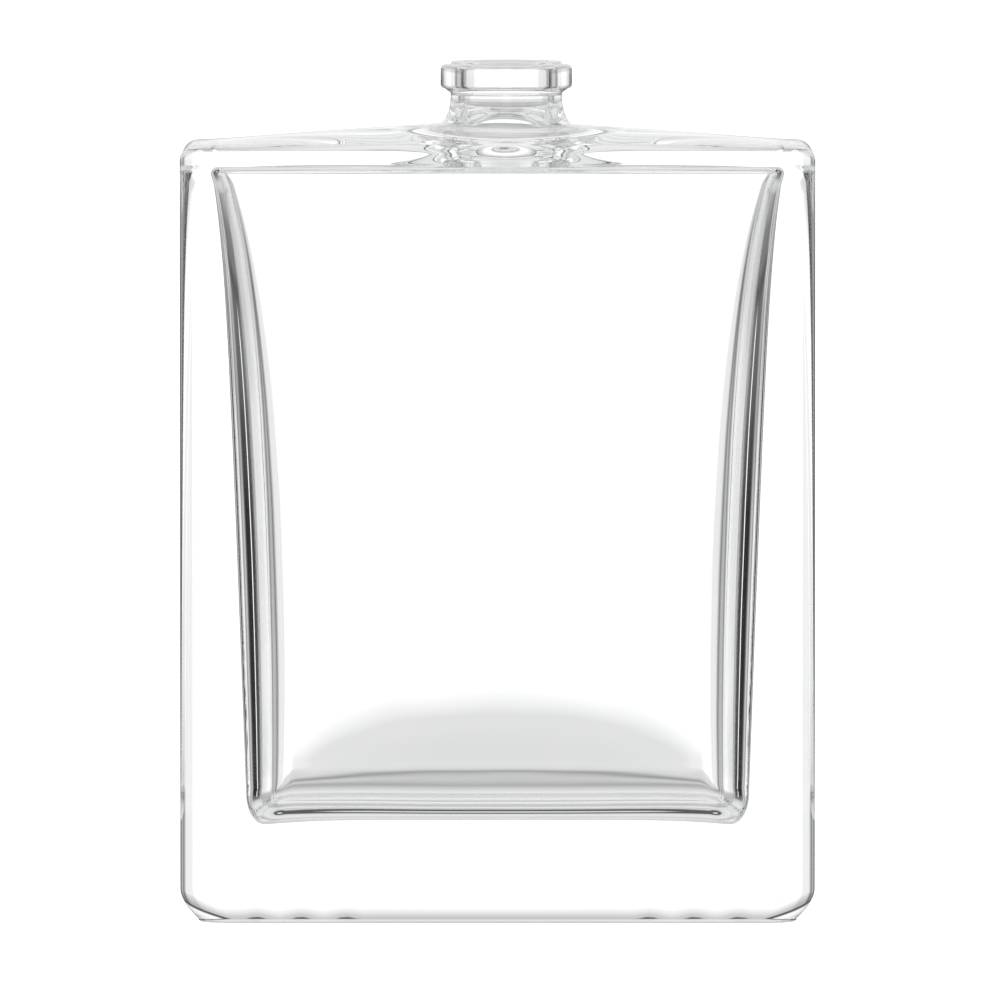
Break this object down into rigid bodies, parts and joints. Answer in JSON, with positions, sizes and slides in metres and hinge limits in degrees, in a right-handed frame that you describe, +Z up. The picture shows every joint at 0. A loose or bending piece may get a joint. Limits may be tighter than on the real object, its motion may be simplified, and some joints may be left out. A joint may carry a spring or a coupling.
{
  "type": "aftershave bottle",
  "caption": "Clear rectangular glass flacon for aftershave, with a thick base, a gently crowned shoulder and a plain round crimp neck, open and empty.",
  "frame": {"origin": "middle of the footprint, on the surface that the bottle stands on", "axes": "+Z up through the neck, +X along the wide side, to the right seen from the front, +Y from the front face to the back face"},
  "size_m": [0.0722, 0.026, 0.0978],
  "materials": {
    "glass": "clear, fire-polished soda-lime flint glass"
  },
  "bodies": {
    "root": {"glass_flacon": "glass"}
  },
  "joints": []
}
